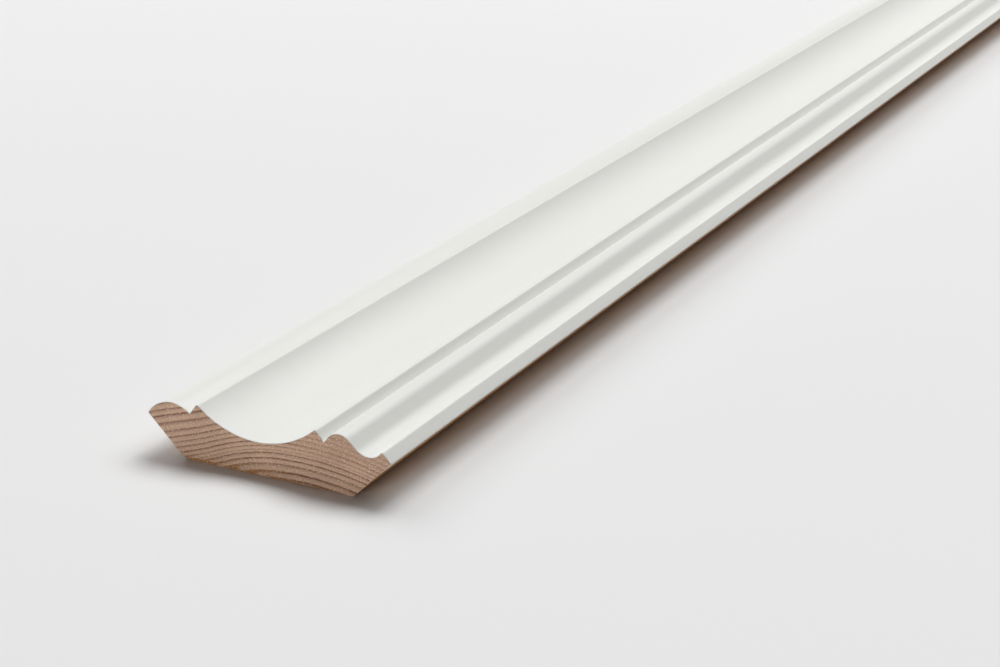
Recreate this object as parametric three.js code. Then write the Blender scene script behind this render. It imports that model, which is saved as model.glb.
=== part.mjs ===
// A length of painted pine crown moulding, lying on its flat back.
// X runs across the section, from the ceiling edge at -X to the wall edge at +X,
// Y runs along the length and Z is up. The origin is the middle of the flat back.
import * as THREE from 'three';

// Driving dimensions of the whole length, in millimetres.
const LENGTH = 1000; // between the two square saw cuts
const WIDTH = 95; // from the ceiling edge to the wall edge
const THICKNESS = 21; // from the flat back to the crests of the face

// The back: a flat between two bevels that stand at a right angle to each other.
const SPRING_ANGLE = 45; // degrees, from the flat back to the wall bevel
const BACK_CHAMFER = 1.9; // taken off the arris between the back and the ceiling bevel

// The face, from the ceiling edge to the wall edge. Depths are below the crests.
const EDGE_DEPTH = 6.6; // of the ceiling edge and the wall edge
const ROUND_WIDTH = 17.2; // from the ceiling edge to the bottom of the first quirk
const ROUND_BULGE = 3.9; // of the round, out from the straight line between its ends
const QUIRK_DEPTH = 4; // of the V grooves on both sides of the cove
const QUIRK_SLOPE = 52; // degrees, of the V grooves' walls
const COVE_DEPTH = 9;
const BEAD_RADIUS = 5.4;
const OGEE_SLOPE = 44; // degrees, of the straight between the bead and the hollow
const HOLLOW_RADIUS = 6.6; // of the hollow's side next to the ogee
const HOLLOW_DEPTH = 5.9;
const HOLLOW_RISE_WIDTH = 4.9; // from the bottom of the hollow to the lip
const LIP_FACE = 5; // from the lip's arris to the wall edge, square to the wall bevel
const ARRIS_EASE = 0.9; // taken off each painted arris by sanding, along both its sides

// How finely round stretches are divided.
const FACET_ANGLE = 2; // degrees that an arc turns in one facet
const EASE_FACETS = 5; // across one eased arris

const PAINT_COLOUR = 0xe8e9e5;
const PAINT_ROUGHNESS = 0.45;

const { degToRad, lerp } = THREE.MathUtils;
const point = (x, z) => new THREE.Vector2(x, z);

// One straight stretch of the outline. Its ease rounds the corner at its end.
function straight(from, to, ease = 0) {
  return { curve: new THREE.LineCurve(from, to), facets: 1, ease };
}

// One round stretch of the outline, which turns by an angle on its way, left if positive.
function arc(from, to, turn, ease = 0) {
  const chord = to.clone().sub(from);
  const toCentre = 0.5 / Math.tan(turn / 2);
  const centreX = (from.x + to.x) / 2 - chord.y * toCentre;
  const centreZ = (from.y + to.y) / 2 + chord.x * toCentre;
  const radius = Math.hypot(from.x - centreX, from.y - centreZ);
  const start = Math.atan2(from.y - centreZ, from.x - centreX);
  return {
    curve: new THREE.EllipseCurve(
      centreX, centreZ, radius, radius, start, start + turn, turn < 0,
    ),
    facets: Math.ceil(Math.abs(turn) / degToRad(FACET_ANGLE)),
    ease,
  };
}

// The angle that an arc turns through between its ends, from how far it bulges.
function turnOfBulge(from, to, bulge) {
  return 4 * Math.atan(bulge / (from.distanceTo(to) / 2));
}

// The points of a closed outline, with its corners eased.
function easedOutline(stretches) {
  const points = [];
  stretches.forEach(({ curve, facets, ease }, index) => {
    const next = stretches[(index + 1) % stretches.length].curve;
    const easeBefore = stretches.at(index - 1).ease;
    const start = easeBefore / curve.getLength();
    const end = 1 - ease / curve.getLength();
    for (let facet = 0; facet < facets; facet += 1) {
      points.push(curve.getPoint(lerp(start, end, facet / facets)));
    }
    if (ease > 0) {
      const rounding = new THREE.QuadraticBezierCurve(
        curve.getPoint(end), curve.getPoint(1), next.getPoint(ease / next.getLength()),
      );
      points.push(...rounding.getPoints(EASE_FACETS).slice(0, -1));
    }
  });
  return points;
}

// The flat back and its two bevels, from the ceiling edge round to the wall edge.
function backOf(ceilingEdge, wallEdge) {
  const spring = degToRad(SPRING_ANGLE);
  const ceilingArris = point(ceilingEdge.x + ceilingEdge.y * Math.tan(spring), 0);
  const wallArris = point(wallEdge.x - wallEdge.y / Math.tan(spring), 0);
  const chamferTop = point(
    ceilingArris.x - BACK_CHAMFER * Math.sin(spring), BACK_CHAMFER * Math.cos(spring),
  );
  const chamferFoot = point(ceilingArris.x + BACK_CHAMFER, 0);
  return [
    straight(ceilingEdge, chamferTop),
    straight(chamferTop, chamferFoot),
    straight(chamferFoot, wallArris),
    straight(wallArris, wallEdge),
  ];
}

// The lip, hollow, ogee and bead, from the wall edge to the bottom of the second quirk.
function wallSideOfFace(wallEdge) {
  const spring = degToRad(SPRING_ANGLE);
  const slope = degToRad(OGEE_SLOPE);
  const quirkSlope = degToRad(QUIRK_SLOPE);
  const hollowFloor = THICKNESS - HOLLOW_DEPTH;
  const quirkFloor = THICKNESS - QUIRK_DEPTH;

  const lip = point(
    wallEdge.x - LIP_FACE * Math.sin(spring), wallEdge.y + LIP_FACE * Math.cos(spring),
  );
  const hollow = point(lip.x - HOLLOW_RISE_WIDTH, hollowFloor);
  const ogeeFoot = point(
    hollow.x - HOLLOW_RADIUS * Math.sin(slope),
    hollowFloor + HOLLOW_RADIUS * (1 - Math.cos(slope)),
  );
  const ogeeHeadZ = THICKNESS - BEAD_RADIUS * (1 - Math.cos(slope));
  const ogeeHead = point(
    ogeeFoot.x - (ogeeHeadZ - ogeeFoot.y) / Math.tan(slope), ogeeHeadZ,
  );
  const crest = point(ogeeHead.x - BEAD_RADIUS * Math.sin(slope), THICKNESS);
  const beadFoot = point(
    crest.x - BEAD_RADIUS * Math.sin(quirkSlope),
    THICKNESS - BEAD_RADIUS * (1 - Math.cos(quirkSlope)),
  );
  const quirk = point(
    beadFoot.x - (beadFoot.y - quirkFloor) / Math.tan(quirkSlope), quirkFloor,
  );
  const hollowRise = 2 * Math.atan2(lip.y - hollowFloor, HOLLOW_RISE_WIDTH);
  return {
    quirk,
    stretches: [
      straight(wallEdge, lip, ARRIS_EASE),
      arc(lip, hollow, -hollowRise),
      arc(hollow, ogeeFoot, -slope),
      straight(ogeeFoot, ogeeHead),
      arc(ogeeHead, crest, slope),
      arc(crest, beadFoot, quirkSlope),
      straight(beadFoot, quirk),
    ],
  };
}

// The cove between the two quirks, and the round at the ceiling edge.
function ceilingSideOfFace(wallQuirk, ceilingEdge) {
  const quirkRun = QUIRK_DEPTH / Math.tan(degToRad(QUIRK_SLOPE));
  const quirk = point(ceilingEdge.x + ROUND_WIDTH, THICKNESS - QUIRK_DEPTH);
  const coveAtWall = point(wallQuirk.x - quirkRun, THICKNESS);
  const coveAtCeiling = point(quirk.x + quirkRun, THICKNESS);
  return [
    straight(wallQuirk, coveAtWall, ARRIS_EASE),
    arc(
      coveAtWall, coveAtCeiling,
      -turnOfBulge(coveAtWall, coveAtCeiling, COVE_DEPTH), ARRIS_EASE,
    ),
    straight(coveAtCeiling, quirk),
    arc(quirk, ceilingEdge, turnOfBulge(quirk, ceilingEdge, ROUND_BULGE)),
  ];
}

// The whole section, with X across and Y up, run counter-clockwise.
function sectionShape() {
  const ceilingEdge = point(-WIDTH / 2, THICKNESS - EDGE_DEPTH);
  const wallEdge = point(WIDTH / 2, THICKNESS - EDGE_DEPTH);
  const wallSide = wallSideOfFace(wallEdge);
  return new THREE.Shape(easedOutline([
    ...backOf(ceilingEdge, wallEdge),
    ...wallSide.stretches,
    ...ceilingSideOfFace(wallSide.quirk, ceilingEdge),
  ]));
}

// The section run along Y and centred, with both ends cut square.
function mouldingGeometry() {
  const geometry = new THREE.ExtrudeGeometry(sectionShape(), {
    depth: LENGTH,
    bevelEnabled: false,
  });
  geometry.rotateX(Math.PI / 2);
  geometry.translate(0, LENGTH / 2, 0);
  return geometry;
}

const paintedPine = new THREE.MeshStandardMaterial({
  color: PAINT_COLOUR,
  roughness: PAINT_ROUGHNESS,
  metalness: 0,
});

const moulding = new THREE.Mesh(mouldingGeometry(), paintedPine);
moulding.name = 'crown_moulding';

const part = new THREE.Group();
part.add(moulding);

export default part;
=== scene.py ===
"""A length of painted pine crown moulding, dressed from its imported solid.

X runs across the section from the ceiling edge to the wall edge, Y along the
length and Z up out of the flat back. Lengths are in metres, but the nodes that
draw wood and paint, and the values named for them, are in millimetres.
"""

import math

import bmesh
import bpy
from bpy.props import FloatProperty, FloatVectorProperty, IntProperty, PointerProperty
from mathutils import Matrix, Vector


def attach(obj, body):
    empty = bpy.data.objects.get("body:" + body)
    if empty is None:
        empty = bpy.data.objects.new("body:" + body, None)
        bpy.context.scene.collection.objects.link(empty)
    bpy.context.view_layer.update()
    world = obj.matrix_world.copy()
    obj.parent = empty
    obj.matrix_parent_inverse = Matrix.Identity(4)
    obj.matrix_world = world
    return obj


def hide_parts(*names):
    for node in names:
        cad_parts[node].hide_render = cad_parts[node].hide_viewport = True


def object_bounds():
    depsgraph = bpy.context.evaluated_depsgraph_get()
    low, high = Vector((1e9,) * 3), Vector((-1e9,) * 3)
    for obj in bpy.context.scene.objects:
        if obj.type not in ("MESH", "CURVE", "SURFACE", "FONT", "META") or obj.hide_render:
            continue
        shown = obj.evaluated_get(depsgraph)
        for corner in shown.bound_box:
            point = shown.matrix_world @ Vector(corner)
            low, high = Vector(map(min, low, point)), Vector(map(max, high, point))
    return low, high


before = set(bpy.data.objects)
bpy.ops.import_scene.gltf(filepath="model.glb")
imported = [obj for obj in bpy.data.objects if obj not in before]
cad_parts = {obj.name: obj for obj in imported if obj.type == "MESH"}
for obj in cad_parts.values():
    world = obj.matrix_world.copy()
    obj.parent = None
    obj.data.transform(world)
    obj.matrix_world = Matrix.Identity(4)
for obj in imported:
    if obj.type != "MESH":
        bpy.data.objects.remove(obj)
cad_low, cad_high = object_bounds()

bl_info = {
    "name": "Crown Moulding",
    "version": (1, 0, 0),
    "blender": (4, 5, 0),
    "location": "View3D > Sidebar > Moulding",
    "description": "Dresses a length of crown moulding as painted, sawn and planed pine",
    "category": "Object",
}

MM = 0.001
MOULDING_NODE = "crown_moulding"
LENGTH = cad_high.y - cad_low.y
NEAR_END = cad_low.y

# Points closer together than this are one.
MERGE_DISTANCE = 0.001 * MM
# A face whose normal has more than this share along the length is a sawn end.
END_FACING = 0.9
# A corner of the face that turns left by more than this is the bottom of a quirk.
QUIRK_TURN = math.radians(45)
# An edge that is bent by more than this stays crisp.
SHARP_ANGLE = math.radians(28)
# A corner moved inwards goes at most 1 / MITRE_LIMIT times as far as its sides.
MITRE_LIMIT = 0.4
# The floor lies this far under the back, and fibre tips stay this far above the back's plane.
FLOOR_GAP = 0.05 * MM
FIBRE_GAP = 0.01 * MM


def linear(hex_colour):
    """The linear RGB values of an sRGB colour such as 0xE8E9E5."""
    channels = [(hex_colour >> shift & 0xFF) / 255 for shift in (16, 8, 0)]
    return tuple(
        value / 12.92 if value <= 0.04045 else ((value + 0.055) / 1.055) ** 2.4
        for value in channels
    )


def length_setting(name, description, default):
    """A length that a user can change, in metres."""
    return FloatProperty(
        name=name, description=description, default=default, min=0.0,
        unit="LENGTH", subtype="DISTANCE", precision=5,
    )


def colour_setting(name, description, hex_colour):
    """A colour that a user can change, from its sRGB value."""
    return FloatVectorProperty(
        name=name, description=description, default=linear(hex_colour),
        subtype="COLOR", size=3, min=0.0, max=1.0,
    )


class TimberSettings(bpy.types.PropertyGroup):
    """Sizes and colours of the bare pine."""

    pith_across: length_setting(
        "Pith Across", "From the back's middle to the heart of the tree, towards the wall edge",
        15 * MM,
    )
    pith_below: length_setting(
        "Pith Below", "From the flat back down to the heart of the tree", 100 * MM,
    )
    pith_slope: FloatProperty(
        name="Pith Slope", description="How far the heart of the tree runs out of line",
        default=math.radians(0.7), subtype="ANGLE", unit="ROTATION",
    )
    ring_waviness: length_setting(
        "Ring Waviness", "How far a growth ring strays from a true circle", 0.45 * MM,
    )
    planer_pitch: length_setting(
        "Planer Pitch", "Between two cuts of the planer's knives on the back", 1.6 * MM,
    )
    early_colour: colour_setting("Earlywood", "Pale wood of spring", 0xE1BCA1)
    late_colour: colour_setting("Latewood", "Dark wood of late summer", 0x824F3A)
    long_early_colour: colour_setting("Planed Earlywood", "Pale wood on a planed side", 0xC69152)
    long_late_colour: colour_setting("Planed Latewood", "Dark wood on a planed side", 0x8E592A)
    # Resin in the latewood. The same orange also stands for painted glow: light shining up through
    # the torn fibres at the sawn ends' bottom edge.
    resin_and_glow_colour: colour_setting("Resin And Painted Glow", "Latewood with resin drawn out of it", 0xB47C48)
    split_fibre_colour: colour_setting("Split Fibre", "Ends that the saw split", 0xF5DFC6)
    crushed_fibre_colour: colour_setting("Crushed Fibre", "Ends that the saw crushed", 0x94745A)
    canal_colour: colour_setting("Resin Canal", "Short dark dashes along the grain", 0x7B5D45)
    mist_colour: colour_setting("Paint Mist", "Spray that landed on the bevels", 0xE7E7E3)


class PaintSettings(bpy.types.PropertyGroup):
    """Sizes and colour of the paint."""

    thickness: length_setting("Thickness", "Primer and finish together", 0.16 * MM)
    wrap: length_setting("Wrap", "How far the paint goes round onto a bevel", 0.7 * MM)
    arris_ease: length_setting("Arris Ease", "Taken off the two long edges by sanding", 0.25 * MM)
    quirk_fill: length_setting("Quirk Fill", "How far paint fills the bottom of a quirk", 0.5 * MM)
    end_wear: length_setting("End Wear", "How far the saw chips the paint back at most", 0.35 * MM)
    chip_radius: length_setting("Chip Radius", "Of the one larger chip, at the lip", 1.1 * MM)
    chip_depth: length_setting("Chip Depth", "Of the one larger chip, along the length", 0.9 * MM)
    colour: colour_setting("Paint", "Warm satin white", 0xE3E3DE)


class FibreSettings(bpy.types.PropertyGroup):
    """Sizes of the torn fibres along the sawn ends."""

    length: length_setting("Length", "Of the longest fibre", 1.5 * MM)
    width: length_setting("Width", "Of a fibre at its root", 0.22 * MM)
    spacing: length_setting("Spacing", "Between fibres where the edge is torn", 0.14 * MM)
    torn_middle: length_setting(
        "Torn Middle", "Middle of the torn stretch, from the middle of the back", 15 * MM,
    )
    torn_reach: length_setting("Torn Reach", "Half the length of the torn stretch", 15 * MM)
    untorn_share: FloatProperty(
        name="Untorn Share", description="How many fibres stand elsewhere", default=0.28,
        min=0.0, max=1.0,
    )
    seed: IntProperty(name="Seed", description="Changes which fibres stand where", default=7)


class StudioSettings(bpy.types.PropertyGroup):
    """The floor, the light and the camera."""

    floor_colour: colour_setting("Floor", "Pale seamless paper", 0xEDEDED)
    camera_place: FloatVectorProperty(
        name="Camera", description="Where the camera stands", size=3,
        default=(0.3355, -0.9886, 0.2704), subtype="TRANSLATION", unit="LENGTH",
    )
    camera_turn: FloatProperty(
        name="Turn", description="How far the camera is turned left of the length",
        default=math.radians(27.019), subtype="ANGLE", unit="ROTATION",
    )
    camera_drop: FloatProperty(
        name="Drop", description="How far the camera looks down",
        default=math.radians(20.489), subtype="ANGLE", unit="ROTATION",
    )
    lens: FloatProperty(
        name="Lens", description="Focal length on a 36 mm wide sensor", default=70.16,
    )


# The outline of the section.


def packed_outline():
    """Points (x, z) of the section, from the back's ceiling side up and over to its wall side."""
    solid = bmesh.new()
    solid.from_mesh(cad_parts[MOULDING_NODE].data)
    bmesh.ops.remove_doubles(solid, verts=solid.verts, dist=MERGE_DISTANCE)
    solid.normal_update()
    end_faces = {face for face in solid.faces if face.normal.y < -END_FACING}
    neighbours = {}
    for edge in solid.edges:
        if len(end_faces.intersection(edge.link_faces)) == 1:
            first, second = edge.verts
            neighbours.setdefault(first, []).append(second)
            neighbours.setdefault(second, []).append(first)
    on_back = [vert for vert in neighbours if vert.co.z < cad_low.z + MERGE_DISTANCE]
    walk = [min(on_back, key=lambda vert: vert.co.x)]
    walk.append(max(neighbours[walk[0]], key=lambda vert: vert.co.z))
    while len(walk) < len(neighbours):
        walk.append(next(vert for vert in neighbours[walk[-1]] if vert is not walk[-2]))
    points = [Vector((vert.co.x, vert.co.z)) for vert in walk]
    solid.free()
    return points


def lengths_along(points):
    """The distance along a line of points at each of them."""
    lengths = [0.0]
    for before, after in zip(points, points[1:]):
        lengths.append(lengths[-1] + (after - before).length)
    return lengths


def point_at(points, place):
    """The point at a distance along a line of points."""
    lengths = lengths_along(points)
    index = 1
    while index < len(points) - 1 and lengths[index] < place:
        index += 1
    span = lengths[index] - lengths[index - 1]
    return points[index - 1].lerp(points[index], (place - lengths[index - 1]) / span)


def stretch(points, start, end):
    """The part of a line of points between two distances along it."""
    inner = [
        point for point, place in zip(points, lengths_along(points))
        if start + MERGE_DISTANCE < place < end - MERGE_DISTANCE
    ]
    return [point_at(points, start), *inner, point_at(points, end)]


def eased(points, place, cut, steps=5):
    """A line of points with the corner at a distance along it rounded, cut back by some length."""
    before = stretch(points, 0.0, place - cut)
    after = stretch(points, place + cut, lengths_along(points)[-1])
    corner = point_at(points, place)
    rounding = []
    for step in range(1, steps):
        share = step / steps
        arriving = before[-1].lerp(corner, share)
        rounding.append(arriving.lerp(corner.lerp(after[0], share), share))
    return before + rounding + after


def divided(points, longest):
    """A line of points with every stretch cut into pieces no longer than that."""
    result = [points[0]]
    for before, after in zip(points, points[1:]):
        pieces = math.ceil((after - before).length / longest)
        result += [before.lerp(after, piece / pieces) for piece in range(1, pieces + 1)]
    return result


def inset(points, depths):
    """A line of points moved inwards, which is to its right, by a depth at each."""
    result = []
    for index, (point, depth) in enumerate(zip(points, depths)):
        before = points[max(index - 1, 0)]
        after = points[min(index + 1, len(points) - 1)]
        arriving = (point - before if index else after - point).normalized()
        leaving = (after - point if index < len(points) - 1 else point - before).normalized()
        mitre = Vector((arriving.y + leaving.y, -arriving.x - leaving.x)).normalized()
        across = Vector((leaving.y, -leaving.x))
        result.append(point + mitre * (depth / max(mitre.dot(across), MITRE_LIMIT)))
    return result


def turn_at(points, index):
    """How far a line of points turns left at one of them."""
    arriving = points[index] - points[index - 1]
    leaving = points[index + 1] - points[index]
    return math.atan2(arriving.x * leaving.y - arriving.y * leaving.x, arriving.dot(leaving))


def smooth_step(value):
    """0 up to 0, 1 from 1, and an even rise between."""
    value = min(max(value, 0.0), 1.0)
    return value * value * (3 - 2 * value)


class Section:
    """The wood's outline and the paint's outer line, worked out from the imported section."""

    FACET = 0.5 * MM

    def __init__(self, paint):
        outline = packed_outline()
        for edge in (cad_high.x, cad_low.x):
            corner = min(range(len(outline)), key=lambda index: abs(outline[index].x - edge))
            outline = eased(outline, lengths_along(outline)[corner], paint.arris_ease)
        quirks = [
            index for index in range(1, len(outline) - 1)
            if turn_at(outline, index) > QUIRK_TURN
        ]
        filled = outline
        for corner in reversed(quirks):
            filled = eased(filled, lengths_along(outline)[corner], paint.quirk_fill)

        self.wood = self._sunk(divided(outline, self.FACET), paint)
        wood_start, wood_end = self._painted(outline, paint)
        film_start, film_end = self._painted(filled, paint)
        outer = divided(stretch(filled, film_start, film_end), self.FACET)
        inner = divided(stretch(outline, wood_start, wood_end), self.FACET)
        inner = self._sunk(inner, paint, whole=True)
        self.film = outer + inner[-2:0:-1]

    @staticmethod
    def _painted(points, paint):
        """Where the paint starts and ends, as distances along a line of points."""
        lengths = lengths_along(points)
        tips = [
            lengths[min(range(len(points)), key=lambda index: abs(points[index].x - edge))]
            for edge in (cad_low.x, cad_high.x)
        ]
        return tips[0] - paint.wrap, tips[1] + paint.wrap

    @classmethod
    def _sunk(cls, points, paint, whole=False):
        """A line moved in under the paint, which thins out to nothing on both bevels."""
        lengths = lengths_along(points)
        start, end = (0.0, lengths[-1]) if whole else cls._painted(points, paint)
        depths = [
            paint.thickness
            * smooth_step((place - start) / paint.wrap)
            * smooth_step((end - place) / paint.wrap)
            for place in lengths
        ]
        return inset(points, depths)


# Building blocks for node trees. A colour Mix node has many sockets of the same names, so its
# two colours and its result are found by number.
MIX_FIRST = 6
MIX_SECOND = 7
MIX_RESULT = 2


def add(tree, kind, inputs=None, **settings):
    """Adds a node. An input that is a node or a socket is linked, and any other is a value."""
    node = tree.nodes.new(kind)
    for name, value in settings.items():
        setattr(node, name, value)
    for name, value in (inputs or {}).items():
        if isinstance(value, bpy.types.Node):
            value = value.outputs[0]
        if isinstance(value, bpy.types.NodeSocket):
            tree.links.new(value, node.inputs[name])
        else:
            node.inputs[name].default_value = value
    return node


def new_shape_tree(name, sockets):
    """An empty Geometry Nodes tree with named inputs. Returns it and its input node's outputs."""
    tree = bpy.data.node_groups.new(name, "GeometryNodeTree")
    tree.interface.new_socket("Geometry", in_out="INPUT", socket_type="NodeSocketGeometry")
    tree.interface.new_socket("Geometry", in_out="OUTPUT", socket_type="NodeSocketGeometry")
    for socket_name, kind in sockets.items():
        tree.interface.new_socket(socket_name, in_out="INPUT", socket_type=f"NodeSocket{kind}")
    return tree, add(tree, "NodeGroupInput").outputs


def made_by_tree(name, start_mesh, tree, values):
    """A plain mesh object: what a tree makes of a mesh, with the tree's inputs set by name."""
    source = bpy.data.objects.new(name + "_source", start_mesh)
    bpy.context.scene.collection.objects.link(source)
    modifier = source.modifiers.new("Shape", "NODES")
    modifier.node_group = tree
    for socket in tree.interface.items_tree:
        if socket.in_out == "INPUT" and socket.name in values:
            modifier[socket.identifier] = values[socket.name]
    depsgraph = bpy.context.evaluated_depsgraph_get()
    mesh = bpy.data.meshes.new_from_object(
        source.evaluated_get(depsgraph), preserve_all_data_layers=True, depsgraph=depsgraph,
    )
    source.modifiers.remove(modifier)
    bpy.data.objects.remove(source)
    mesh.name = name
    piece = bpy.data.objects.new(name, mesh)
    bpy.context.scene.collection.objects.link(piece)
    return piece


def line_mesh(name, points, closed):
    """A mesh of edges through points (x, z), standing across the length."""
    mesh = bpy.data.meshes.new(name)
    count = len(points)
    edges = [(index, (index + 1) % count) for index in range(count if closed else count - 1)]
    mesh.from_pydata([(point.x, 0.0, point.y) for point in points], edges, [])
    return mesh


def sweep_tree():
    """Runs a section along the length, with closer steps near the ends, and chips its ends back."""
    tree, given = new_shape_tree("Sweep Section", {
        "Length": "Float", "Steps": "Int", "Crowding": "Float", "End Wear": "Float",
        "Wear Reach": "Float", "Wear Grain": "Float", "Chip Centre": "Vector",
        "Chip Radius": "Float", "Chip Depth": "Float", "Sharp Angle": "Float",
        "Side Material": "Material", "End Material": "Material",
    })

    # A line of steps from end to end, which stand closer together near both ends.
    line = add(tree, "GeometryNodeCurvePrimitiveLine", {"Start": (0, 0, 0), "End": (0, 1, 0)})
    path = add(tree, "GeometryNodeResampleCurve", {"Curve": line, "Count": given["Steps"]})
    share = add(tree, "GeometryNodeSplineParameter")
    signed = add(tree, "ShaderNodeMath", {0: share, 1: 2.0, 2: -1.0}, operation="MULTIPLY_ADD")
    from_middle = add(tree, "ShaderNodeMath", {0: signed}, operation="ABSOLUTE")
    from_end = add(tree, "ShaderNodeMath", {0: 1.0, 1: from_middle}, operation="SUBTRACT")
    shrunk = add(tree, "ShaderNodeMath", {0: from_end, 1: given["Crowding"]}, operation="POWER")
    crowded = add(tree, "ShaderNodeMath", {0: 1.0, 1: shrunk}, operation="SUBTRACT")
    which_half = add(tree, "ShaderNodeMath", {0: signed}, operation="SIGN")
    half = add(tree, "ShaderNodeMath", {0: given["Length"], 1: 2.0}, operation="DIVIDE")
    half_place = add(tree, "ShaderNodeMath", {0: crowded, 1: half}, operation="MULTIPLY")
    place = add(tree, "ShaderNodeMath", {0: half_place, 1: which_half}, operation="MULTIPLY")
    steps = add(tree, "GeometryNodeSetPosition", {
        "Geometry": path, "Position": add(tree, "ShaderNodeCombineXYZ", {"Y": place}),
    })

    # A profile lies in its own XY plane, with its Y running down when it is swept along +Y.
    profile = add(tree, "GeometryNodeMeshToCurve", {"Mesh": given["Geometry"]})
    laid = add(tree, "GeometryNodeTransform", {
        "Geometry": profile, "Rotation": (math.radians(90), 0, 0),
    })
    swept = add(tree, "GeometryNodeCurveToMesh", {
        "Curve": steps, "Profile Curve": laid, "Fill Caps": True,
    })

    # Wear: a ragged edge at both ends, and one larger chip at the near end.
    position = add(tree, "GeometryNodeInputPosition")
    along = add(tree, "ShaderNodeSeparateXYZ", {0: position}).outputs["Y"]
    which_end = add(tree, "ShaderNodeMath", {0: along}, operation="SIGN")
    out = add(tree, "ShaderNodeMath", {0: along}, operation="ABSOLUTE")
    distance = add(tree, "ShaderNodeMath", {0: half, 1: out}, operation="SUBTRACT")
    grain = add(tree, "ShaderNodeMath", {0: 1.0, 1: given["Wear Grain"]}, operation="DIVIDE")
    ragged = add(tree, "ShaderNodeTexNoise", {
        "Vector": position, "Scale": grain, "Detail": 3.0, "Roughness": 0.7,
    })
    wear = add(tree, "ShaderNodeMapRange", {
        "Value": ragged, "From Min": 0.42, "From Max": 0.75, "To Max": given["End Wear"],
    })
    from_chip = add(tree, "ShaderNodeVectorMath", {0: position, 1: given["Chip Centre"]},
                    operation="DISTANCE").outputs["Value"]
    chip = add(tree, "ShaderNodeMapRange", {
        "Value": from_chip, "From Max": given["Chip Radius"],
        "To Min": given["Chip Depth"], "To Max": 0.0,
    }, interpolation_type="SMOOTHSTEP")
    deepest = add(tree, "ShaderNodeMath", {0: wear, 1: chip}, operation="MAXIMUM")
    fade = add(tree, "ShaderNodeMapRange", {
        "Value": distance, "From Max": given["Wear Reach"], "To Min": -1.0, "To Max": 0.0,
    }, interpolation_type="SMOOTHSTEP")
    pulled = add(tree, "ShaderNodeMath", {0: deepest, 1: fade}, operation="MULTIPLY")
    pulled_in = add(tree, "ShaderNodeMath", {0: pulled, 1: which_end}, operation="MULTIPLY")
    worn = add(tree, "GeometryNodeSetPosition", {
        "Geometry": swept, "Offset": add(tree, "ShaderNodeCombineXYZ", {"Y": pulled_in}),
    })

    # Corners stay crisp, and round stretches are shaded smooth.
    sharp = add(tree, "FunctionNodeCompare", {
        0: add(tree, "GeometryNodeInputMeshEdgeAngle"), 1: given["Sharp Angle"],
    }, data_type="FLOAT", operation="GREATER_THAN")
    creased = add(tree, "GeometryNodeSetShadeSmooth", {
        "Geometry": worn, "Selection": sharp, "Shade Smooth": False,
    }, domain="EDGE")
    real = add(tree, "GeometryNodeRealizeInstances", {"Geometry": creased})
    sides = add(tree, "GeometryNodeSetMaterial", {
        "Geometry": real, "Material": given["Side Material"],
    })
    facing = add(tree, "ShaderNodeSeparateXYZ", {0: add(tree, "GeometryNodeInputNormal")})
    lengthwise = add(tree, "ShaderNodeMath", {0: facing.outputs["Y"]}, operation="ABSOLUTE")
    at_end = add(tree, "FunctionNodeCompare", {0: lengthwise, 1: END_FACING},
                 data_type="FLOAT", operation="GREATER_THAN")
    ends = add(tree, "GeometryNodeSetMaterial", {
        "Geometry": sides, "Selection": at_end, "Material": given["End Material"],
    })
    add(tree, "NodeGroupOutput", {"Geometry": ends})
    return tree


def swept_piece(name, loop, side_material, end_material, values=None):
    """A piece with one section along the whole length. It is whole unless values wear it."""
    return made_by_tree(name, line_mesh(name + "_section", loop, closed=True), sweep_tree(), {
        "Length": LENGTH, "Steps": 61, "Crowding": 3.0, "End Wear": 0.0, "Wear Reach": 2.5 * MM,
        "Wear Grain": 1.2 * MM, "Chip Centre": (0.0, NEAR_END, 0.0), "Chip Radius": MM,
        "Chip Depth": 0.0, "Sharp Angle": SHARP_ANGLE,
        "Side Material": side_material, "End Material": end_material,
        **(values or {}),
    })


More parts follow.
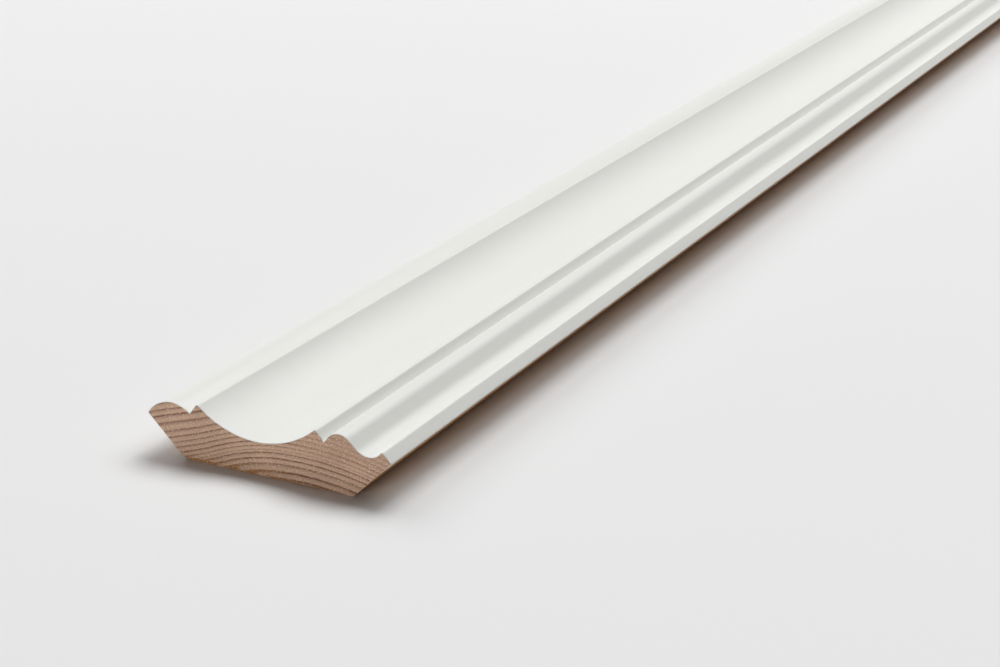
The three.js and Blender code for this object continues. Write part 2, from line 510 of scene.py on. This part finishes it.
def fibre_tree():
    """Stands tapered, drooping fibres along a line at both ends, most of them round one place."""
    tree, given = new_shape_tree("Torn Fibres", {
        "Length": "Float", "Fibre Length": "Float", "Fibre Width": "Float", "Spacing": "Float",
        "Torn Middle": "Float", "Torn Reach": "Float", "Untorn Share": "Float",
        "Droop": "Float", "Lowest": "Float", "Seed": "Int", "Material": "Material",
    })
    edge = add(tree, "GeometryNodeMeshToCurve", {"Mesh": given["Geometry"]})
    roots = add(tree, "GeometryNodeCurveToPoints", {"Curve": edge, "Length": given["Spacing"]},
                mode="LENGTH")
    both = add(tree, "GeometryNodeDuplicateElements", {"Geometry": roots, "Amount": 2},
               domain="POINT")
    which_end = add(tree, "ShaderNodeMath", {
        0: both.outputs["Duplicate Index"], 1: 2.0, 2: -1.0,
    }, operation="MULTIPLY_ADD")
    half = add(tree, "ShaderNodeMath", {0: given["Length"], 1: 2.0}, operation="DIVIDE")
    end = add(tree, "ShaderNodeMath", {0: half, 1: which_end}, operation="MULTIPLY")
    at_ends = add(tree, "GeometryNodeSetPosition", {
        "Geometry": both, "Offset": add(tree, "ShaderNodeCombineXYZ", {"Y": end}),
    })

    # How torn the edge is: fully in the middle of the torn stretch, and a little elsewhere.
    across = add(tree, "ShaderNodeSeparateXYZ", {0: add(tree, "GeometryNodeInputPosition")})
    from_torn = add(tree, "ShaderNodeMath", {0: across.outputs["X"], 1: given["Torn Middle"]},
                    operation="SUBTRACT")
    torn = add(tree, "ShaderNodeMapRange", {
        "Value": add(tree, "ShaderNodeMath", {0: from_torn}, operation="ABSOLUTE"),
        "From Max": given["Torn Reach"], "To Min": 1.0, "To Max": given["Untorn Share"],
    }, interpolation_type="SMOOTHSTEP")
    chances = add(tree, "FunctionNodeRandomValue", {"Seed": given["Seed"]},
                  data_type="FLOAT_VECTOR")
    chance = add(tree, "ShaderNodeSeparateXYZ", {0: chances})
    missing = add(tree, "FunctionNodeCompare", {0: chance.outputs["X"], 1: torn},
                  data_type="FLOAT", operation="GREATER_THAN")
    left = add(tree, "GeometryNodeDeleteGeometry", {"Geometry": at_ends, "Selection": missing},
               domain="POINT")

    # A fibre points out of its end and leans a little to one side, up or down.
    next_seed = add(tree, "ShaderNodeMath", {0: given["Seed"], 1: 1.0}, operation="ADD")
    lean = add(tree, "FunctionNodeRandomValue", {
        0: (-0.5, 0.0, -0.1), 1: (0.5, 0.0, 0.3), "Seed": next_seed,
    }, data_type="FLOAT_VECTOR")
    direction = add(tree, "ShaderNodeVectorMath", {
        0: lean, 1: add(tree, "ShaderNodeCombineXYZ", {"Y": which_end}),
    }, operation="ADD")
    turned = add(tree, "FunctionNodeAlignRotationToVector", {"Vector": direction}, axis="Z")
    short = add(tree, "ShaderNodeMath", {0: chance.outputs["Y"], 1: 0.8, 2: 0.2},
                operation="MULTIPLY_ADD")
    shorter = add(tree, "ShaderNodeMath", {0: short, 1: torn}, operation="MULTIPLY")
    length = add(tree, "ShaderNodeMath", {0: shorter, 1: given["Fibre Length"]},
                 operation="MULTIPLY")
    thin = add(tree, "ShaderNodeMath", {0: chance.outputs["Z"], 1: 0.7, 2: 0.6},
               operation="MULTIPLY_ADD")
    width = add(tree, "ShaderNodeMath", {0: thin, 1: given["Fibre Width"]}, operation="MULTIPLY")
    sliver = add(tree, "GeometryNodeMeshCone", {
        "Vertices": 5, "Side Segments": 4, "Radius Top": 0.0, "Radius Bottom": 0.5, "Depth": 1.0,
    })
    scattered = add(tree, "GeometryNodeInstanceOnPoints", {
        "Points": left, "Instance": sliver, "Rotation": turned,
        "Scale": add(tree, "ShaderNodeCombineXYZ", {"X": width, "Y": width, "Z": length}),
    })
    real = add(tree, "GeometryNodeRealizeInstances", {"Geometry": scattered})

    # A tip droops with the square of how far it stands out, and stays above the ground.
    where = add(tree, "ShaderNodeSeparateXYZ", {0: add(tree, "GeometryNodeInputPosition")})
    out = add(tree, "ShaderNodeMath", {0: where.outputs["Y"]}, operation="ABSOLUTE")
    beyond = add(tree, "ShaderNodeMath", {0: out, 1: half}, operation="SUBTRACT")
    squared = add(tree, "ShaderNodeMath", {0: beyond, 1: beyond}, operation="MULTIPLY")
    drop = add(tree, "ShaderNodeMath", {0: squared, 1: given["Droop"]}, operation="MULTIPLY")
    lowered = add(tree, "ShaderNodeMath", {0: where.outputs["Z"], 1: drop}, operation="SUBTRACT")
    height = add(tree, "ShaderNodeMath", {0: lowered, 1: given["Lowest"]}, operation="MAXIMUM")
    bent = add(tree, "GeometryNodeSetPosition", {
        "Geometry": real,
        "Position": add(tree, "ShaderNodeCombineXYZ", {
            "X": where.outputs["X"], "Y": where.outputs["Y"], "Z": height,
        }),
    })
    finished = add(tree, "GeometryNodeSetMaterial", {
        "Geometry": bent, "Material": given["Material"],
    })
    add(tree, "NodeGroupOutput", {"Geometry": finished})
    return tree


# Materials.


def new_material(name):
    """An empty material. Returns it, its tree and its surface shader."""
    material = bpy.data.materials.new(name)
    material.use_nodes = True
    tree = material.node_tree
    tree.nodes.clear()
    shader = add(tree, "ShaderNodeBsdfPrincipled")
    add(tree, "ShaderNodeOutputMaterial", {"Surface": shader})
    return material, tree, shader


def connect(tree, shader, **sources):
    """Links nodes or sockets into a shader, whose inputs are named with _ for a space."""
    for name, source in sources.items():
        socket = source.outputs[0] if isinstance(source, bpy.types.Node) else source
        tree.links.new(socket, shader.inputs[name.replace("_", " ")])


def wave_scale(pitch):
    """The scale of a Wave Texture in millimetres whose crests stand a pitch apart."""
    return 2 * math.pi / 20 / pitch


def in_millimetres(tree):
    """A node that gives the place on the object in millimetres."""
    return add(tree, "ShaderNodeMapping", {
        "Vector": add(tree, "ShaderNodeTexCoord").outputs["Object"],
        "Scale": (1 / MM, 1 / MM, 1 / MM),
    })


# Growth rings from the heart outwards, as the sawn end shows them: how far from the heart the
# first one starts, and then each one's width and how dark its latewood is.
FIRST_RING = 99.15
GROWTH_RINGS = (
    (2.2, 1.05), (2.4, 0.88), (2.6, 0.60), (1.9, 0.88), (1.9, 0.75), (1.0, 0.35),
    (1.4, 0.60), (1.6, 0.90), (1.9, 0.60), (1.7, 0.60), (1.9, 0.68), (2.1, 0.66),
    (2.9, 0.66), (2.6, 0.82), (1.9, 0.62), (2.2, 0.55),
)
# Where the rings stray far from true circles: the middle of each stretch across the section,
# half its width, and how far the rings rise there.
RING_SWELLS = ((-25.0, 13.5, -1.55), (-52.0, 11.5, 1.4))
# Under the bead the rings fade, between these places across and up, by this share at most and
# towards wood of this one tone.
FADE_ACROSS = (4.0, 24.0)
FADE_UP = (8.5, 14.0)
FADE_SHARE = 0.62
FADED_TONE = 0.3


def distance_from_heart(tree, timber, place, wave_place, across):
    """The distance from the heart of the tree in millimetres, with waves and swells in it."""
    # The heart passes under the near end and slopes away from it.
    heart = (timber.pith_across / MM, NEAR_END / MM, -timber.pith_below / MM)
    from_heart = add(tree, "ShaderNodeVectorMath", {0: place, 1: heart}, operation="SUBTRACT")
    sloped = add(tree, "ShaderNodeMapping", {
        "Vector": from_heart, "Rotation": (timber.pith_slope, 0, -timber.pith_slope / 2),
    })
    waves = add(tree, "ShaderNodeTexNoise", {
        "Vector": wave_place, "Scale": 1.0, "Detail": 3.0, "Roughness": 0.55,
    })
    strayed = add(tree, "ShaderNodeVectorMath", {
        0: waves.outputs["Color"], 1: (2 * timber.ring_waviness / MM,) * 3, 2: sloped,
    }, operation="MULTIPLY_ADD")
    for middle, half_width, rise in RING_SWELLS:
        scaled = add(tree, "ShaderNodeMath", {
            0: across, 1: 1 / half_width, 2: -middle / half_width,
        }, operation="MULTIPLY_ADD")
        squared = add(tree, "ShaderNodeMath", {0: scaled, 1: scaled}, operation="MULTIPLY")
        fall = add(tree, "ShaderNodeMath", {0: math.exp(-1), 1: squared}, operation="POWER")
        lowered = add(tree, "ShaderNodeMath", {0: fall, 1: -rise}, operation="MULTIPLY")
        strayed = add(tree, "ShaderNodeVectorMath", {
            0: strayed, 1: add(tree, "ShaderNodeCombineXYZ", {"Z": lowered}),
        }, operation="ADD")
    flat = add(tree, "ShaderNodeVectorMath", {0: strayed, 1: (1, 0, 1)}, operation="MULTIPLY")
    return add(tree, "ShaderNodeVectorMath", {0: flat}, operation="LENGTH").outputs["Value"]


def ring_curves(tree, distance, start):
    """Two nodes: the share of the rings that a distance has passed, and the darkness there."""
    count = len(GROWTH_RINGS)
    reached = [sum(width for width, _ in GROWTH_RINGS[:number]) for number in range(count + 1)]
    share = add(tree, "ShaderNodeMapRange", {
        "Value": distance, "From Min": start, "From Max": start + reached[-1],
    })
    darkness = [GROWTH_RINGS[0][1]] + [strength for _, strength in GROWTH_RINGS]
    curves = []
    for heights in ([number / count for number in range(count + 1)], darkness):
        node = add(tree, "ShaderNodeFloatCurve", {"Value": share})
        curve = node.mapping.curves[0]
        while len(curve.points) < len(heights):
            curve.points.new(0.5, 0.5)
        for point, place, height in zip(curve.points, reached, heights):
            point.location = (place / reached[-1], height)
            point.handle_type = "VECTOR"
        node.mapping.update()
        curves.append(node)
    return curves


def growth_rings(tree, timber):
    """Nodes that give a place in millimetres and how much of the wood there is latewood."""
    place = in_millimetres(tree)
    across, _, height = add(tree, "ShaderNodeSeparateXYZ", {0: place}).outputs
    # Slow waves, about 30 mm across the grain and 200 mm along it.
    wave_place = add(tree, "ShaderNodeMapping", {
        "Vector": place, "Scale": (1 / 30, 1 / 200, 1 / 30),
    })
    distance = distance_from_heart(tree, timber, place, wave_place, across)
    # The waves' noise is about a half on average, so it adds one waviness to the distance.
    counted, strength = ring_curves(tree, distance, FIRST_RING + timber.ring_waviness / MM)

    # Within a ring the wood darkens slowly, and turns pale at once where the next one starts.
    rings = add(tree, "ShaderNodeMath", {0: counted, 1: float(len(GROWTH_RINGS))},
                operation="MULTIPLY")
    within = add(tree, "ShaderNodeMath", {0: rings}, operation="FRACT")
    darkening = add(tree, "ShaderNodeValToRGB", {"Fac": within})
    ramp = darkening.color_ramp
    ramp.elements[0].color = (0.5, 0.5, 0.5, 1)
    ramp.elements[1].color = (0.5, 0.5, 0.5, 1)
    for where, value in ((0.07, 0.04), (0.42, 0.08), (0.66, 0.4), (0.82, 0.95), (0.95, 1.0)):
        ramp.elements.new(where).color = (value, value, value, 1)
    # Along a ring the latewood is darker in some stretches than in others.
    patches = add(tree, "ShaderNodeTexNoise", {"Vector": wave_place, "Scale": 4.0})
    patchy = add(tree, "ShaderNodeMath", {0: patches, 1: 0.6}, operation="ADD")
    strong = add(tree, "ShaderNodeMath", {0: patchy, 1: strength}, operation="MULTIPLY")
    ringed = add(tree, "ShaderNodeMath", {0: darkening, 1: strong}, operation="MULTIPLY")
    wall_side = add(tree, "ShaderNodeMapRange", {
        "Value": across, "From Min": FADE_ACROSS[0], "From Max": FADE_ACROSS[1],
    })
    high_up = add(tree, "ShaderNodeMapRange", {
        "Value": height, "From Min": FADE_UP[0], "From Max": FADE_UP[1], "To Max": FADE_SHARE,
    })
    fading = add(tree, "ShaderNodeMath", {0: wall_side, 1: high_up}, operation="MULTIPLY")
    late = add(tree, "ShaderNodeMix", {"Factor": fading, "A": ringed, "B": FADED_TONE})
    return place, late


# Between two arcs that the saw's teeth left, and from their centre to the back's middle.
SAW_PITCH = 1.0833
SAW_SHIFT = (-20, 0, 125)


def sawn_end_material(timber):
    """Pine, cross cut by a fine circular saw.

    The cut shows the growth rings as dark arcs, and between them the ends of
    thousands of fibres, some crushed and dark, some split and pale. It is dull.
    """
    material, tree, shader = new_material("sawn_pine_end_grain")
    place, late = growth_rings(tree, timber)

    # Near the back the latewood turns orange, most along the torn bottom edge and on the ceiling
    # side: partly resin, partly a painted glow that stands for light shining up through the torn
    # fibres.
    blotches = add(tree, "ShaderNodeTexNoise", {"Vector": place, "Scale": 1 / 9})
    across, _, height = add(tree, "ShaderNodeSeparateXYZ", {0: place}).outputs
    near_back = add(tree, "ShaderNodeMapRange", {
        "Value": height, "From Min": 4.2, "From Max": 0.4, "To Max": 2.4,
    })
    drawn = add(tree, "ShaderNodeMath", {0: near_back, 1: late}, operation="MULTIPLY")
    torn_edge = add(tree, "ShaderNodeMapRange", {
        "Value": height, "From Min": 1.3, "From Max": 0.4, "To Max": 3.0,
    })
    in_patches = add(tree, "ShaderNodeMapRange", {
        "Value": blotches, "From Min": 0.47, "From Max": 0.58,
    })
    ceiling_side = add(tree, "ShaderNodeMapRange", {
        "Value": across, "From Min": 12.0, "From Max": 2.0, "To Min": 0.1,
    })
    glow_and_resin_mask = add(tree, "ShaderNodeMath", {0: torn_edge, 1: in_patches, 2: drawn},
                   operation="MULTIPLY_ADD")
    uneven = add(tree, "ShaderNodeMath", {0: glow_and_resin_mask, 1: blotches}, operation="MULTIPLY")
    # This tint is resin and painted glow of light together.
    resin = add(tree, "ShaderNodeMath", {0: uneven, 1: ceiling_side}, operation="MULTIPLY",
                use_clamp=True)

    # Fibre ends are 0.03 mm across. They are drawn in tufts 0.55 mm across, which is what shows.
    fibres = add(tree, "ShaderNodeTexNoise", {
        "Vector": place, "Scale": 1 / 0.55, "Roughness": 0.65,
    })
    specks = add(tree, "ShaderNodeMapRange", {
        "Value": fibres, "From Min": 0.55, "From Max": 0.66, "To Max": 0.85,
    })
    dents = add(tree, "ShaderNodeMapRange", {
        "Value": fibres, "From Min": 0.46, "From Max": 0.32, "To Max": 0.42,
    })
    colour = (*timber.early_colour, 1)
    for share, over in (
        (late, timber.late_colour), (resin, timber.resin_and_glow_colour),
        (specks, timber.split_fibre_colour), (dents, timber.crushed_fibre_colour),
    ):
        colour = add(tree, "ShaderNodeMix", {
            "Factor": share, MIX_FIRST: colour, MIX_SECOND: (*over, 1),
        }, data_type="RGBA").outputs[MIX_RESULT]
    tone = add(tree, "ShaderNodeMapRange", {
        "Value": blotches, "From Min": 0.3, "From Max": 0.7, "To Min": 0.93, "To Max": 1.05,
    })
    shaded = add(tree, "ShaderNodeHueSaturation", {"Color": colour, "Value": tone})
    roughness = add(tree, "ShaderNodeMapRange", {"Value": late, "To Min": 0.85, "To Max": 0.68})

    # The saw's teeth leave faint arcs over the fuzz of the fibres.
    saw_centre = add(tree, "ShaderNodeMapping", {"Vector": place, "Location": SAW_SHIFT})
    arcs = add(tree, "ShaderNodeTexWave", {
        "Vector": saw_centre, "Scale": wave_scale(SAW_PITCH), "Distortion": 0.6,
    }, wave_type="RINGS", rings_direction="Y")
    relief = add(tree, "ShaderNodeMath", {
        0: arcs.outputs["Fac"], 1: 0.25, 2: fibres,
    }, operation="MULTIPLY_ADD")
    bump = add(tree, "ShaderNodeBump", {"Height": relief, "Strength": 0.7, "Distance": 0.12 * MM})
    shader.inputs["IOR"].default_value = 1.5
    shader.inputs["Specular IOR Level"].default_value = 0.3
    connect(tree, shader, Base_Color=shaded, Roughness=roughness, Normal=bump)
    return material


def planed_pine_material(timber):
    """Pine, machine planed and left bare on the back and both bevels.

    The rings run out as long pale and brown bands. The planer's knives leave a
    ripple across them, fine resin canals show as short dark dashes, and a mist
    of paint fades out next to the painted edges.
    """
    material, tree, shader = new_material("planed_bare_pine")
    place, late = growth_rings(tree, timber)
    bands = add(tree, "ShaderNodeMix", {
        "Factor": late, MIX_FIRST: (*timber.long_early_colour, 1),
        MIX_SECOND: (*timber.long_late_colour, 1),
    }, data_type="RGBA")
    # Fibre bundles, drawn 0.4 mm across and 60 mm along the grain.
    bundle_place = add(tree, "ShaderNodeMapping", {
        "Vector": place, "Scale": (1 / 0.4, 1 / 60, 1 / 0.4),
    })
    streaks = add(tree, "ShaderNodeTexNoise", {
        "Vector": bundle_place, "Scale": 1.0, "Detail": 3.0, "Roughness": 0.6,
    })
    tone = add(tree, "ShaderNodeMapRange", {
        "Value": streaks, "From Min": 0.3, "From Max": 0.7, "To Min": 0.86, "To Max": 1.08,
    })
    toned = add(tree, "ShaderNodeHueSaturation", {
        "Color": bands.outputs[MIX_RESULT], "Value": tone,
    })
    # Resin canals, drawn 0.45 mm across and about 7 mm long.
    canal_place = add(tree, "ShaderNodeMapping", {
        "Vector": place, "Scale": (1 / 0.45, 1 / 7, 1 / 0.45),
    })
    canals = add(tree, "ShaderNodeTexNoise", {"Vector": canal_place, "Scale": 1.0, "Detail": 1.0})
    dashes = add(tree, "ShaderNodeMapRange", {
        "Value": canals, "From Min": 0.70, "From Max": 0.76, "To Max": 0.6,
    })
    # Paint mist, in droplets about 0.45 mm across: full at the painted edges, which are the
    # highest bare wood, and gone halfway down the bevels.
    height = add(tree, "ShaderNodeSeparateXYZ", {0: place}).outputs["Z"]
    mist_top = cad_high.z / MM
    mist_share = add(tree, "ShaderNodeMapRange", {
        "Value": height, "From Min": mist_top * 0.40, "From Max": mist_top * 0.56, "To Max": 1.6,
    })
    droplets = add(tree, "ShaderNodeTexNoise", {"Vector": place, "Scale": 2.2, "Detail": 3.0})
    landed = add(tree, "ShaderNodeMath", {0: mist_share, 1: droplets}, operation="MULTIPLY",
                 use_clamp=True)
    colour = toned
    for share, over in ((dashes, timber.canal_colour), (landed, timber.mist_colour)):
        colour = add(tree, "ShaderNodeMix", {
            "Factor": share, MIX_FIRST: colour, MIX_SECOND: (*over, 1),
        }, data_type="RGBA").outputs[MIX_RESULT]
    ripple = add(tree, "ShaderNodeTexWave", {
        "Vector": place, "Scale": wave_scale(timber.planer_pitch / MM), "Distortion": 0.3,
    }, wave_type="BANDS", bands_direction="Y")
    relief = add(tree, "ShaderNodeMath", {
        0: ripple.outputs["Fac"], 1: 0.35, 2: streaks,
    }, operation="MULTIPLY_ADD")
    bump = add(tree, "ShaderNodeBump", {"Height": relief, "Strength": 0.35, "Distance": 0.08 * MM})
    roughness = add(tree, "ShaderNodeMapRange", {"Value": streaks, "To Min": 0.52, "To Max": 0.72})
    shader.inputs["IOR"].default_value = 1.5
    connect(tree, shader, Base_Color=colour, Roughness=roughness, Normal=bump)
    return material


def satin_paint_material(paint):
    """White acrylic paint, sprayed in two coats over primer on sanded pine.

    It is smooth and satin: soft highlights along each round, broken a little by
    the droplets, and a trace of the wood's fibres along the length.
    """
    material, tree, shader = new_material("sprayed_satin_white_paint")
    place = in_millimetres(tree)
    # Droplets 0.7 mm across, and raised fibres 1.5 mm across and 80 mm along.
    droplets = add(tree, "ShaderNodeTexNoise", {"Vector": place, "Scale": 1 / 0.7})
    fibre_place = add(tree, "ShaderNodeMapping", {
        "Vector": place, "Scale": (1 / 1.5, 1 / 80, 1 / 1.5),
    })
    fibres = add(tree, "ShaderNodeTexNoise", {"Vector": fibre_place, "Scale": 1.0})
    # Patches 45 mm across where the coats lie a little thicker.
    coats = add(tree, "ShaderNodeTexNoise", {"Vector": place, "Scale": 1 / 45})
    tint = add(tree, "ShaderNodeMix", {
        "Factor": coats, MIX_FIRST: (*paint.colour, 1),
        MIX_SECOND: (*(channel * 0.985 for channel in paint.colour), 1),
    }, data_type="RGBA")
    relief = add(tree, "ShaderNodeMath", {0: fibres, 1: 0.5, 2: droplets}, operation="MULTIPLY_ADD")
    bump = add(tree, "ShaderNodeBump", {"Height": relief, "Strength": 0.25, "Distance": 0.02 * MM})
    roughness = add(tree, "ShaderNodeMapRange", {
        "Value": coats, "From Min": 0.3, "From Max": 0.7, "To Min": 0.40, "To Max": 0.48,
    })
    shader.inputs["IOR"].default_value = 1.48
    connect(tree, shader, Base_Color=tint.outputs[MIX_RESULT], Roughness=roughness, Normal=bump)
    return material


def torn_fibre_material(timber):
    """Pine fibres that the saw tore out of its edge: pale, dry and dull, darker in patches."""
    material, tree, shader = new_material("torn_pine_fibre")
    place = in_millimetres(tree)
    shade = add(tree, "ShaderNodeTexNoise", {"Vector": place, "Scale": 1 / 0.6})
    colour = add(tree, "ShaderNodeMix", {
        "Factor": shade, MIX_FIRST: (*timber.split_fibre_colour, 1),
        MIX_SECOND: (*timber.resin_and_glow_colour, 1),
    }, data_type="RGBA")
    roughness = add(tree, "ShaderNodeMapRange", {"Value": shade, "To Min": 0.7, "To Max": 0.9})
    connect(tree, shader, Base_Color=colour.outputs[MIX_RESULT], Roughness=roughness)
    return material


# Operators.


def finish_piece(piece):
    """Says that a finished piece rides on the only body."""
    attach(piece, "root")


class MOULDING_OT_timber(bpy.types.Operator):
    """Makes the pine: the whole section, sawn at both ends and planed on the back."""

    bl_idname = "moulding.timber"
    bl_label = "Pine Timber"

    def execute(self, context):
        section = Section(context.scene.moulding_paint)
        timber = context.scene.moulding_timber
        piece = swept_piece(
            "pine_timber", section.wood, planed_pine_material(timber), sawn_end_material(timber),
        )
        finish_piece(piece)
        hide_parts(MOULDING_NODE)
        return {"FINISHED"}


class MOULDING_OT_paint(bpy.types.Operator):
    """Makes the paint: a thin closed skin over the moulded face, chipped at the saw cuts."""

    bl_idname = "moulding.paint"
    bl_label = "Paint Film"

    # From the wall edge to the middle of the larger chip, which is on the lip's face.
    CHIP_INWARDS = 1 * MM
    CHIP_UP = 2 * MM

    def execute(self, context):
        paint = context.scene.moulding_paint
        section = Section(paint)
        coat = satin_paint_material(paint)
        wall_edge = max(section.film, key=lambda point: point.x)
        chip_centre = (wall_edge.x - self.CHIP_INWARDS, NEAR_END, wall_edge.y + self.CHIP_UP)
        piece = swept_piece("paint_film", section.film, coat, coat, {
            "End Wear": paint.end_wear, "Chip Centre": chip_centre,
            "Chip Radius": paint.chip_radius, "Chip Depth": paint.chip_depth,
        })
        finish_piece(piece)
        return {"FINISHED"}


class MOULDING_OT_fibres(bpy.types.Operator):
    """Makes the torn fibres: the wood's own fringe, along the bare edges of both sawn ends."""

    bl_idname = "moulding.fibres"
    bl_label = "Sawn Fibres"

    # How far a tip drops, over the square of how far it stands out.
    DROOP = 0.15 / MM

    def execute(self, context):
        fibres = context.scene.moulding_fibres
        wood = Section(context.scene.moulding_paint).wood
        tip = min(range(len(wood)), key=lambda index: wood[index].x)
        bare_edge = [wood[-1], *wood[:tip + 1]]
        roots = inset(bare_edge, [fibres.width / 2] * len(bare_edge))
        root_line = line_mesh("bare_edge", roots, closed=False)
        piece = made_by_tree("sawn_fibres", root_line, fibre_tree(), {
            "Length": LENGTH - fibres.width, "Fibre Length": fibres.length,
            "Fibre Width": fibres.width, "Spacing": fibres.spacing,
            "Torn Middle": fibres.torn_middle, "Torn Reach": fibres.torn_reach,
            "Untorn Share": fibres.untorn_share, "Droop": self.DROOP,
            "Lowest": cad_low.z + FIBRE_GAP, "Seed": fibres.seed,
            "Material": torn_fibre_material(context.scene.moulding_timber),
        })
        finish_piece(piece)
        return {"FINISHED"}


# Soft panels round the moulding, all equally far from it: azimuth from +X and elevation in
# degrees, width and height in metres, and watts.
PANEL_DISTANCE = 12.0
PANELS = {
    "back_panel": (97, 58, 6.4, 7.0, 900),
    "back_left_panel": (152, 40, 6.4, 7.0, 540),
    "back_right_panel": (56, 52, 8.0, 6.4, 470),
    "front_low_panel": (-97, 8, 4.0, 2.8, 330),
}


def soft_panel(name, azimuth, elevation, width, height, watts):
    """A rectangular light that faces the moulding from afar."""
    light = bpy.data.lights.new(name, "AREA")
    light.shape = "RECTANGLE"
    light.size = width
    light.size_y = height
    light.energy = watts
    lamp = bpy.data.objects.new(name, light)
    turn, rise = math.radians(azimuth), math.radians(elevation)
    flat = math.cos(rise)
    away = Vector((math.cos(turn) * flat, math.sin(turn) * flat, math.sin(rise)))
    lamp.location = away * PANEL_DISTANCE
    lamp.rotation_euler = (-away).to_track_quat("-Z", "Y").to_euler()
    lamp.visible_camera = False
    bpy.context.scene.collection.objects.link(lamp)


# The floor is a square that reaches this far from the moulding's middle.
FLOOR_REACH = 14.0
# The surround as the camera and the satin paint see it, and the share of it that gives light.
SURROUND_COLOUR = (0.8, 0.8, 0.8, 1)
SURROUND_LIGHT = 0.02


def paper_floor(colour):
    """A floor of pale seamless paper, with a fine tooth in its colour."""
    mesh = bpy.data.meshes.new("floor")
    level = cad_low.z - FLOOR_GAP
    corners = [
        (-FLOOR_REACH, -FLOOR_REACH, level), (FLOOR_REACH, -FLOOR_REACH, level),
        (FLOOR_REACH, FLOOR_REACH, level), (-FLOOR_REACH, FLOOR_REACH, level),
    ]
    mesh.from_pydata(corners, [], [(0, 1, 2, 3)])
    floor = bpy.data.objects.new("floor", mesh)
    bpy.context.scene.collection.objects.link(floor)
    paper, tree, shader = new_material("seamless_paper")
    tooth = add(tree, "ShaderNodeTexNoise", {
        "Vector": add(tree, "ShaderNodeTexCoord").outputs["Object"], "Scale": 900.0,
    })
    tint = add(tree, "ShaderNodeMix", {
        "Factor": tooth, MIX_FIRST: (*colour, 1),
        MIX_SECOND: (*(channel * 0.99 for channel in colour), 1),
    }, data_type="RGBA")
    connect(tree, shader, Base_Color=tint.outputs[MIX_RESULT])
    shader.inputs["Roughness"].default_value = 0.9
    shader.inputs["Specular IOR Level"].default_value = 0.1
    mesh.materials.append(paper)
    return floor


def pale_surround():
    """A world that is seen as pale paper, while the panels give nearly all the light."""
    world = bpy.data.worlds.new("studio")
    world.use_nodes = True
    tree = world.node_tree
    tree.nodes.clear()
    ray = add(tree, "ShaderNodeLightPath").outputs
    seen = add(tree, "ShaderNodeMath", {0: ray["Is Camera Ray"], 1: ray["Is Glossy Ray"]},
               operation="MAXIMUM")
    strength = add(tree, "ShaderNodeMath", {0: seen, 1: SURROUND_LIGHT}, operation="MAXIMUM")
    sky = add(tree, "ShaderNodeBackground", {"Color": SURROUND_COLOUR, "Strength": strength})
    add(tree, "ShaderNodeOutputWorld", {"Surface": sky})
    return world


def studio_camera(studio):
    """The camera, as the studio's settings place and turn it."""
    camera_data = bpy.data.cameras.new("camera")
    camera_data.sensor_width = 36
    camera_data.lens = studio.lens
    camera_data.clip_start = 0.01
    camera_data.clip_end = 100
    camera = bpy.data.objects.new("camera", camera_data)
    camera.location = studio.camera_place
    camera.rotation_euler = (math.radians(90) - studio.camera_drop, 0, studio.camera_turn)
    bpy.context.scene.collection.objects.link(camera)
    return camera


class MOULDING_OT_studio(bpy.types.Operator):
    """Makes the floor, the lights and the camera."""

    bl_idname = "moulding.studio"
    bl_label = "Studio"

    def execute(self, context):
        studio = context.scene.moulding_studio
        paper_floor(studio.floor_colour)
        context.scene.world = pale_surround()
        for name, panel in PANELS.items():
            soft_panel(name, *panel)
        context.scene.camera = studio_camera(studio)
        context.scene.view_settings.view_transform = "Standard"
        return {"FINISHED"}


class MOULDING_PT_sidebar(bpy.types.Panel):
    """Lists the steps and their settings."""

    bl_label = "Crown Moulding"
    bl_space_type = "VIEW_3D"
    bl_region_type = "UI"
    bl_category = "Moulding"

    def draw(self, context):
        for operator, settings in STEPS:
            box = self.layout.box()
            box.operator(operator.bl_idname)
            group = getattr(context.scene, settings)
            for name in type(group).__annotations__:
                box.prop(group, name)


STEPS = (
    (MOULDING_OT_timber, "moulding_timber"),
    (MOULDING_OT_paint, "moulding_paint"),
    (MOULDING_OT_fibres, "moulding_fibres"),
    (MOULDING_OT_studio, "moulding_studio"),
)
SETTINGS = {
    "moulding_timber": TimberSettings,
    "moulding_paint": PaintSettings,
    "moulding_fibres": FibreSettings,
    "moulding_studio": StudioSettings,
}
CLASSES = (*SETTINGS.values(), *(operator for operator, _ in STEPS), MOULDING_PT_sidebar)


def register():
    for each in CLASSES:
        bpy.utils.register_class(each)
    for name, group in SETTINGS.items():
        setattr(bpy.types.Scene, name, PointerProperty(type=group))


def unregister():
    for name in SETTINGS:
        delattr(bpy.types.Scene, name)
    for each in reversed(CLASSES):
        bpy.utils.unregister_class(each)


def main():
    register()
    bpy.ops.moulding.timber()
    bpy.ops.moulding.paint()
    bpy.ops.moulding.fibres()
    bpy.ops.moulding.studio()


if __name__ == "__main__":
    main()
